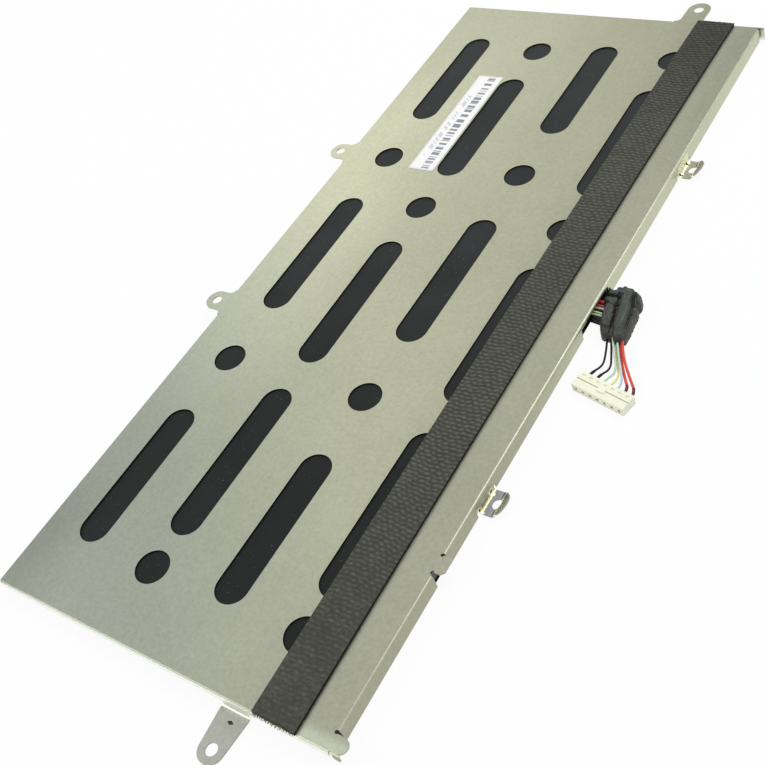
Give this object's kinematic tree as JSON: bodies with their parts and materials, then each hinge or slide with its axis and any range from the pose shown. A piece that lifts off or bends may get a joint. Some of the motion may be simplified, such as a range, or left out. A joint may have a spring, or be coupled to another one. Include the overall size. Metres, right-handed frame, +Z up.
{
  "type": "laptop battery",
  "caption": "Flat battery pack: slotted metal tray with screw tabs, cloth strip and label over pouch cells and a board, with a short taped cable to a cream plug.",
  "frame": {"origin": "under the middle of the tray's plate, on the plane of the cover film that the pack rests on", "axes": "+Y along the pack, from the end with the low screw tab to the far end; +X across it, towards the cable; +Z up, out of the slotted plate"},
  "size_m": [0.123, 0.2519, 0.0051],
  "materials": {
    "tray_steel": "satin, thin sheet",
    "woven_cloth": "ribbed woven adhesive cloth",
    "label_paper": "matt self-adhesive label",
    "black_film": "thin satin film",
    "pouch_foil": "satin laminated pouch",
    "glue_tape": "double-sided tape",
    "nickel": "nickel strip",
    "board_laminate": "solder mask on laminate",
    "foam": "thin closed foam",
    "chip_black": "moulded package",
    "fuse_ceramic": "matt ceramic",
    "resistor_black": "coated ceramic",
    "capacitor_ceramic": "fired ceramic",
    "solder": "bright solder",
    "amber_tape": "amber film tape",
    "black_tape": "black cloth tape",
    "plug_nylon": "cream moulded nylon",
    "contact_gold": "gold-flashed contact",
    "wire_black": "insulated wire",
    "wire_green": "insulated wire",
    "wire_yellow": "insulated wire",
    "wire_blue": "insulated wire",
    "wire_red": "insulated wire"
  },
  "bodies": {
    "root": {"tray": "tray_steel", "cloth_strip": "woven_cloth", "barcode_label": "label_paper", "slot_film": "black_film", "cell_1": "pouch_foil", "cell_2": "pouch_foil", "cell_1_glue": "glue_tape", "cell_2_glue": "glue_tape", "cell_1_far_tab": "nickel", "cell_1_near_tab": "nickel", "cell_2_near_tab": "nickel", "cell_2_far_tab": "nickel", "series_link": "nickel", "protection_board": "board_laminate", "board_foam_pad": "foam", "switching_transistors": "chip_black", "controller_chip": "chip_black", "board_fuse": "fuse_ceramic", "sense_resistor": "resistor_black", "board_capacitors": "capacitor_ceramic", "thermal_cutoff": "chip_black", "solder_joints": "solder", "board_tape": "amber_tape", "cover_film": "black_film", "window_tape": "black_tape", "tape_wrap": "black_tape", "plug_housing": "plug_nylon", "plug_terminals": "contact_gold", "wire_black_1": "wire_black", "wire_black_2": "wire_black", "wire_green": "wire_green", "wire_yellow": "wire_yellow", "wire_blue": "wire_blue", "wire_red_1": "wire_red", "wire_red_2": "wire_red"}
  },
  "joints": []
}
